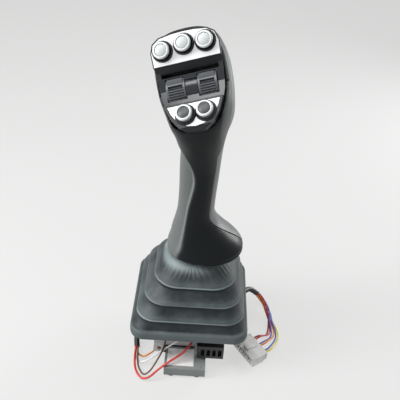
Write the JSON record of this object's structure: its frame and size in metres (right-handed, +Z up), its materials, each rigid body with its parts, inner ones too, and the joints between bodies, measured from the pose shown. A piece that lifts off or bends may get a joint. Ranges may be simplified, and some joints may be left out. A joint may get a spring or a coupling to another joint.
{
  "type": "joystick",
  "caption": "Industrial gimbal joystick with a right-hand palm grip, silver-faced head with push buttons and thumb rollers, rubber boot, mounting flange, control module and harness",
  "frame": {"origin": "on the standing face under the pivot, on the lever axis", "axes": "+Z up along the lever, -Y towards the operator, +X to the operator's right"},
  "size_m": [0.1506, 0.1242, 0.3238],
  "materials": {
    "housing_black": "moulded glass-filled nylon",
    "foot_rubber": "moulded",
    "zinc_steel": "zinc plated",
    "flange_steel": "zinc plated",
    "bush_brass": "sintered bronze",
    "board_green": "solder masked",
    "spring_steel": "spring wire",
    "boot_rubber": "matt, dusty on the folds",
    "module_grey": "moulded",
    "module_lid_grey": "powder coated",
    "label_white": "blank film",
    "bracket_grey": "powder coated",
    "connector_black": "moulded",
    "gimbal_cast": "die cast",
    "magnet_nickel": "nickel plated",
    "shaft_steel": "turned",
    "clamp_steel": "phosphated",
    "grip_base_black": "moulded",
    "grip_soft_black": "soft-touch satin",
    "grip_rear_grey": "fine grained",
    "bezel_black": "fine grained",
    "plate_silver": "satin anodised",
    "cradle_gloss": "polished",
    "switch_grey": "moulded",
    "roller_black": "ribbed",
    "cap_upper": "satin cap with a bright ring",
    "cap_lower": "satin cap with a bright ring",
    "sleeve_black": "PVC sleeve",
    "wire_dark_red": "PVC",
    "wire_red": "PVC",
    "wire_orange": "PVC",
    "wire_yellow": "PVC",
    "wire_blue": "PVC",
    "wire_violet": "PVC",
    "nylon_white": "natural nylon",
    "wire_white": "PVC",
    "wire_brown": "PVC"
  },
  "bodies": {
    "base": {"bottom_cover": "housing_black", "cover_feet": "foot_rubber", "cover_screws": "zinc_steel", "gimbal_housing": "housing_black", "mounting_flange": "flange_steel", "flange_screws": "zinc_steel", "pitch_bushes": "bush_brass", "pitch_sensor_board": "board_green", "pitch_spring": "spring_steel", "boot": "boot_rubber", "module_case": "module_grey", "module_lid": "module_lid_grey", "module_label": "label_white", "module_feet": "foot_rubber", "module_bracket": "bracket_grey", "bracket_screws": "zinc_steel", "relay_block": "connector_black", "harness_gland": "housing_black", "harness_sleeve": "sleeve_black", "harness_wire_1": "wire_dark_red", "harness_wire_2": "wire_red", "harness_wire_3": "wire_orange", "harness_wire_4": "wire_yellow", "harness_wire_5": "wire_blue", "harness_wire_6": "wire_violet", "harness_connector": "nylon_white", "left_sleeve": "sleeve_black", "orange_wire": "wire_orange", "white_wire": "wire_white", "red_wire": "wire_red", "brown_wire": "wire_brown"},
    "yoke": {"gimbal_yoke": "gimbal_cast", "roll_bushes": "bush_brass", "pitch_magnet": "magnet_nickel", "roll_sensor_board": "board_green", "roll_spring": "spring_steel"},
    "grip": {"lever_block": "gimbal_cast", "lever_shaft": "shaft_steel", "roll_magnet": "magnet_nickel", "grip_clamp": "clamp_steel", "grip_base": "grip_base_black", "grip_front_shell": "grip_soft_black", "grip_rear_shell": "grip_rear_grey", "head_bezel": "bezel_black", "top_plate": "plate_silver", "lower_plate": "plate_silver", "roller_cradle": "cradle_gloss", "roller_axle": "shaft_steel", "switch_board": "board_green", "button_switches": "switch_grey"},
    "top_left_button_body": {"top_left_button": "cap_upper"},
    "top_middle_button_body": {"top_middle_button": "cap_upper"},
    "top_right_button_body": {"top_right_button": "cap_upper"},
    "lower_left_button_body": {"lower_left_button": "cap_lower"},
    "lower_right_button_body": {"lower_right_button": "cap_lower"},
    "left_roller_body": {"left_roller": "roller_black"},
    "right_roller_body": {"right_roller": "roller_black"}
  },
  "joints": [
    {"name": "lever_fore_aft", "type": "hinge", "parent": "base", "child": "yoke", "pos_m": [0, 0, 0.027], "axis": [1, 0, 0], "range_deg": [-18, 18], "stiffness_Nm_per_rad": 6, "deforming": ["boot"]},
    {"name": "lever_side", "type": "hinge", "parent": "yoke", "child": "grip", "pos_m": [0, 0, 0.027], "axis": [0, 1, 0], "range_deg": [-18, 18], "stiffness_Nm_per_rad": 6},
    {"name": "top_left_press", "type": "slide", "parent": "grip", "child": "top_left_button_body", "axis": [0.2133, 0.8249, -0.5235], "range_m": [0, 0.002], "stiffness_N_per_m": 1200},
    {"name": "top_middle_press", "type": "slide", "parent": "grip", "child": "top_middle_button_body", "axis": [0.2133, 0.8249, -0.5235], "range_m": [0, 0.002], "stiffness_N_per_m": 1200},
    {"name": "top_right_press", "type": "slide", "parent": "grip", "child": "top_right_button_body", "axis": [0.2133, 0.8249, -0.5235], "range_m": [0, 0.002], "stiffness_N_per_m": 1200},
    {"name": "lower_left_press", "type": "slide", "parent": "grip", "child": "lower_left_button_body", "axis": [0.2662, 0.651, -0.7109], "range_m": [0, 0.002], "stiffness_N_per_m": 1200},
    {"name": "lower_right_press", "type": "slide", "parent": "grip", "child": "lower_right_button_body", "axis": [0.2662, 0.651, -0.7109], "range_m": [0, 0.002], "stiffness_N_per_m": 1200},
    {"name": "left_roller_turn", "type": "hinge", "parent": "grip", "child": "left_roller_body", "pos_m": [-0.01785, -0.00216, 0.27329], "axis": [0.9489, -0.0473, 0.3121], "range_deg": [-30, 30], "stiffness_Nm_per_rad": 0.12},
    {"name": "right_roller_turn", "type": "hinge", "parent": "grip", "child": "right_roller_body", "pos_m": [0.00645, -0.00338, 0.28127], "axis": [0.9489, -0.0473, 0.3121], "range_deg": [-30, 30], "stiffness_Nm_per_rad": 0.12}
  ]
}
